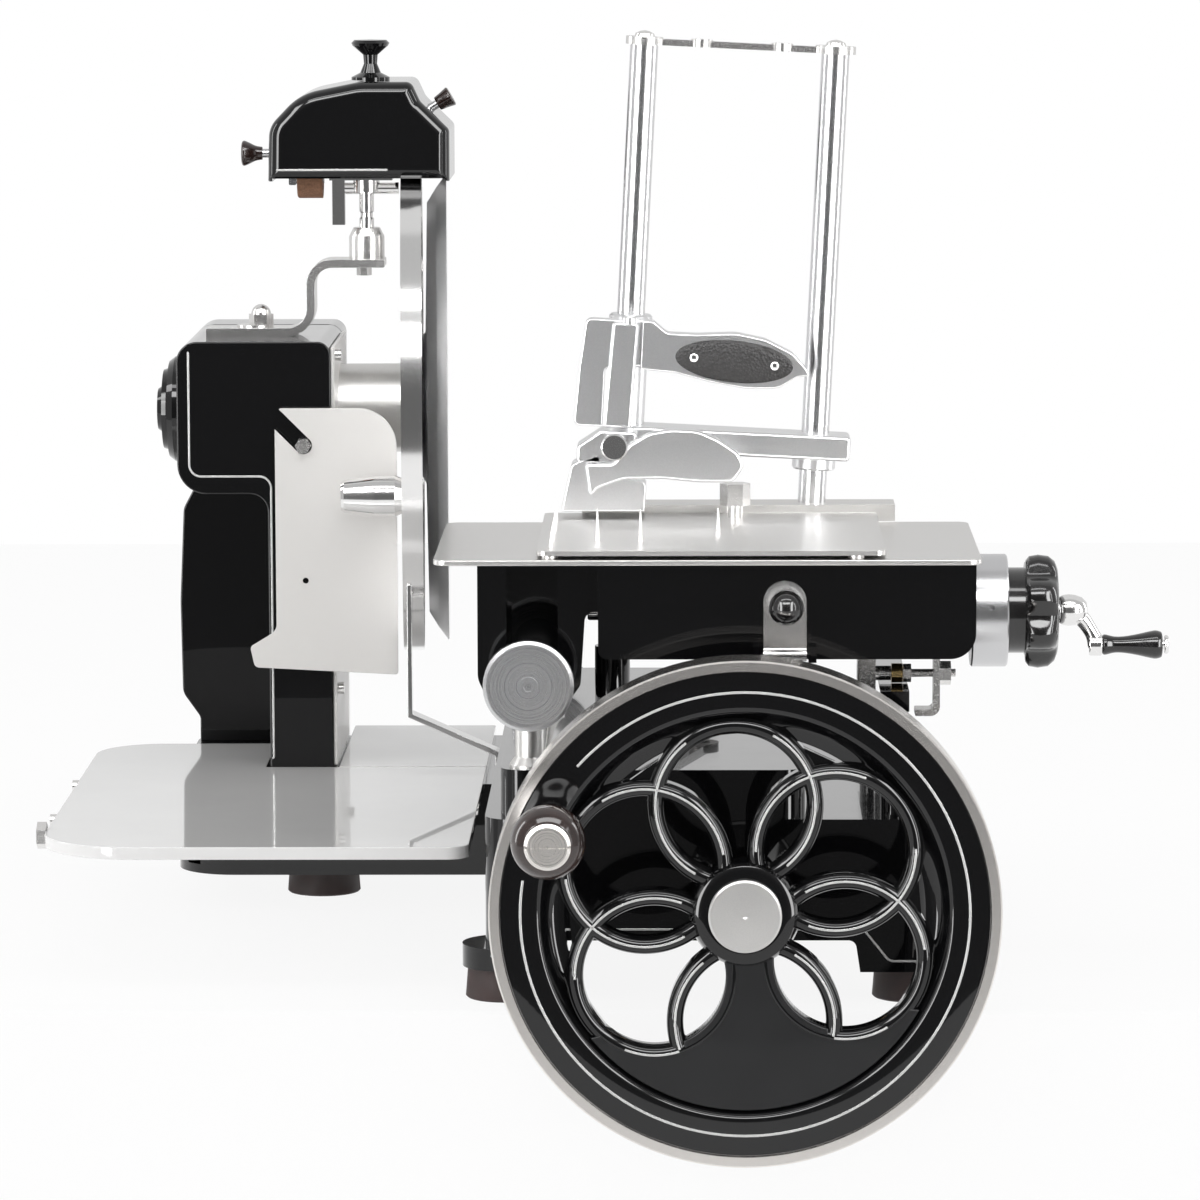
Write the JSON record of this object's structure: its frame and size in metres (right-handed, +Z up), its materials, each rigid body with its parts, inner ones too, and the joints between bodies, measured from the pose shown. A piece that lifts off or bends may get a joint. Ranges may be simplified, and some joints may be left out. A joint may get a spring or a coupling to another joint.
{
  "type": "hand crank meat slicer",
  "caption": "Hand cranked flywheel meat slicer: a pierced flywheel drives a round blade and a sliding carriage with a meat clamp and slice tray.",
  "frame": {"origin": "midway between the two front feet, on the plane that all the feet stand on", "axes": "+X right along the blade's axle as the operator sees it, +Y away from the operator along the carriage's travel, +Z up"},
  "size_m": [0.717, 0.7511, 0.6812],
  "materials": {
    "black_enamel": "deep gloss black stove enamel",
    "white_enamel": "gloss white enamel",
    "cream_enamel": "satin pale enamel",
    "polished_chrome": "polished",
    "satin_nickel": "fine satin nickel and stainless steel",
    "turned_steel": "turned",
    "blade_steel": "ground and polished",
    "gear_iron": "machined, oiled",
    "bearing_bronze": "bored bronze",
    "roller_brass": "turned",
    "brown_bakelite": "polished dark brown bakelite",
    "black_bakelite": "polished black bakelite",
    "foot_rubber": "matt",
    "belt_rubber": "matt flat belt",
    "grinding_stone": "gritty bonded stone"
  },
  "bodies": {
    "root": {"base_casting": "black_enamel", "base_pan": "black_enamel", "slice_tray": "white_enamel", "rubber_feet": "foot_rubber", "frame_screws": "polished_chrome", "guard_strap": "satin_nickel", "shaft_bearings": "bearing_bronze", "drive_column": "black_enamel", "column_side_plate": "cream_enamel", "bearing_cap": "black_enamel", "spindle_housing": "satin_nickel", "blade_guard": "satin_nickel", "deflector_plate": "cream_enamel", "sharpener_bracket": "polished_chrome", "drive_belt": "belt_rubber", "guide_bar": "polished_chrome", "guide_bar_caps": "satin_nickel", "guide_bar_posts": "satin_nickel", "support_rail": "black_enamel"},
    "guard_clamp": {"guard_knob": "satin_nickel"},
    "flywheel": {"flywheel": "black_enamel", "flywheel_rim": "polished_chrome", "hub_cap": "satin_nickel", "main_shaft": "turned_steel", "main_gears": "gear_iron", "crank_spindle": "polished_chrome"},
    "crank_grip": {"crank_grip": "brown_bakelite"},
    "crankshaft": {"crank_disc": "gear_iron", "swing_gear": "gear_iron"},
    "cross_shaft": {"cross_shaft": "turned_steel", "cross_gear": "gear_iron", "drive_pulley": "gear_iron"},
    "blade": {"blade": "blade_steel", "blade_shaft": "turned_steel", "blade_pulley": "turned_steel"},
    "carriage": {"carriage_casting": "black_enamel", "carriage_table": "satin_nickel", "index_collar": "satin_nickel", "roller_bracket": "satin_nickel"},
    "support_roller": {"support_roller": "roller_brass"},
    "connecting_rod": {"connecting_rod": "black_enamel"},
    "release_lever": {"release_lever": "polished_chrome", "release_ball": "black_bakelite"},
    "thickness_knob": {"thickness_knob": "black_bakelite"},
    "feed_screw": {"feed_screw": "polished_chrome"},
    "feed_grip": {"feed_grip": "polished_chrome"},
    "meat_table": {"meat_plate": "satin_nickel", "plate_fittings": "polished_chrome", "press_columns": "polished_chrome", "column_bridge": "polished_chrome"},
    "press": {"press_beam": "polished_chrome", "press_handle": "polished_chrome", "grip_inserts": "black_bakelite"},
    "clamp_lever": {"clamp_lever": "polished_chrome"},
    "sharpener": {"sharpener_post": "polished_chrome", "sharpener_cover": "black_enamel", "lift_knob": "black_enamel"},
    "grinder": {"grind_knob": "polished_chrome", "grind_stone": "grinding_stone"},
    "hone": {"hone_knob": "polished_chrome"}
  },
  "joints": [
    {"name": "flywheel_turn", "type": "hinge", "parent": "root", "child": "flywheel", "pos_m": [0.022, -0.11, 0.0704], "axis": [0, 1, 0], "continuous": true},
    {"name": "crank_grip_spin", "type": "hinge", "parent": "flywheel", "child": "crank_grip", "pos_m": [-0.09582, -0.14, 0.12534], "axis": [0, 1, 0], "continuous": true},
    {"name": "crankshaft_turn", "type": "hinge", "parent": "root", "child": "crankshaft", "pos_m": [0.022, 0.345, 0.12], "axis": [0, 0, 1], "continuous": true},
    {"name": "cross_shaft_turn", "type": "hinge", "parent": "root", "child": "cross_shaft", "pos_m": [-0.1, 0.4, 0.0704], "axis": [1, 0, 0], "continuous": true},
    {"name": "blade_turn", "type": "hinge", "parent": "root", "child": "blade", "pos_m": [-0.1777, 0.4, 0.3315], "axis": [0.9991, 0.0419, 0], "continuous": true},
    {"name": "carriage_slide", "type": "slide", "parent": "root", "child": "carriage", "axis": [0, 1, 0], "range_m": [0, 0.24]},
    {"name": "connecting_rod_swing", "type": "hinge", "parent": "carriage", "child": "connecting_rod", "pos_m": [-0.06, 0.0305, 0.173], "axis": [0, 0, 1], "range_deg": [-48, 22]},
    {"name": "support_roller_spin", "type": "hinge", "parent": "carriage", "child": "support_roller", "pos_m": [0.1175, 0.012, 0.2019], "axis": [1, 0, 0], "continuous": true},
    {"name": "meat_feed", "type": "slide", "parent": "carriage", "child": "meat_table", "axis": [1, 0, 0], "range_m": [-0.062, 0.056]},
    {"name": "feed_screw_turn", "type": "hinge", "parent": "carriage", "child": "feed_screw", "pos_m": [0, 0.06, 0.235], "axis": [1, 0, 0], "range_deg": [-2300, 2100]},
    {"name": "feed_grip_spin", "type": "hinge", "parent": "feed_screw", "child": "feed_grip", "pos_m": [0.26, 0.06, 0.213], "axis": [1, 0, 0], "continuous": true},
    {"name": "thickness_knob_turn", "type": "hinge", "parent": "carriage", "child": "thickness_knob", "pos_m": [0.2, 0.06, 0.235], "axis": [1, 0, 0], "range_deg": [0, 270]},
    {"name": "release_lever_pull", "type": "hinge", "parent": "carriage", "child": "release_lever", "pos_m": [0.047, -0.0325, 0.2195], "axis": [1, 0, 0], "range_deg": [0, 20], "stiffness_Nm_per_rad": 0.05, "springref_deg": -17.19},
    {"name": "press_slide", "type": "slide", "parent": "meat_table", "child": "press", "axis": [0.0523, 0, 0.9986], "range_m": [0, 0.16]},
    {"name": "clamp_lever_lift", "type": "hinge", "parent": "press", "child": "clamp_lever", "pos_m": [-0.05972, 0.13, 0.33254], "axis": [0, 1, 0], "range_deg": [-12, 0]},
    {"name": "sharpener_lift", "type": "slide", "parent": "root", "child": "sharpener", "axis": [0, 0, 1], "range_m": [0, 0.012]},
    {"name": "grinder_push", "type": "slide", "parent": "sharpener", "child": "grinder", "axis": [1, 0, 0], "range_m": [0, 0.005], "stiffness_N_per_m": 400, "springref_m": -0.002},
    {"name": "hone_push", "type": "slide", "parent": "sharpener", "child": "hone", "axis": [-0.866, 0, -0.5], "range_m": [0, 0.003], "stiffness_N_per_m": 400, "springref_m": -0.002},
    {"name": "guard_knob_turn", "type": "hinge", "parent": "root", "child": "guard_clamp", "pos_m": [-0.22347, 0.29799, 0.2815], "axis": [0.9991, 0.0419, 0], "range_deg": [0, 720]}
  ],
  "couplings": [
    {"joint": "crankshaft_turn", "follows": "flywheel_turn", "ratio": 1},
    {"joint": "cross_shaft_turn", "follows": "flywheel_turn", "ratio": -1},
    {"joint": "blade_turn", "follows": "flywheel_turn", "ratio": -2},
    {"joint": "feed_screw_turn", "follows": "meat_feed", "rad_per_m": 628.32}
  ]
}
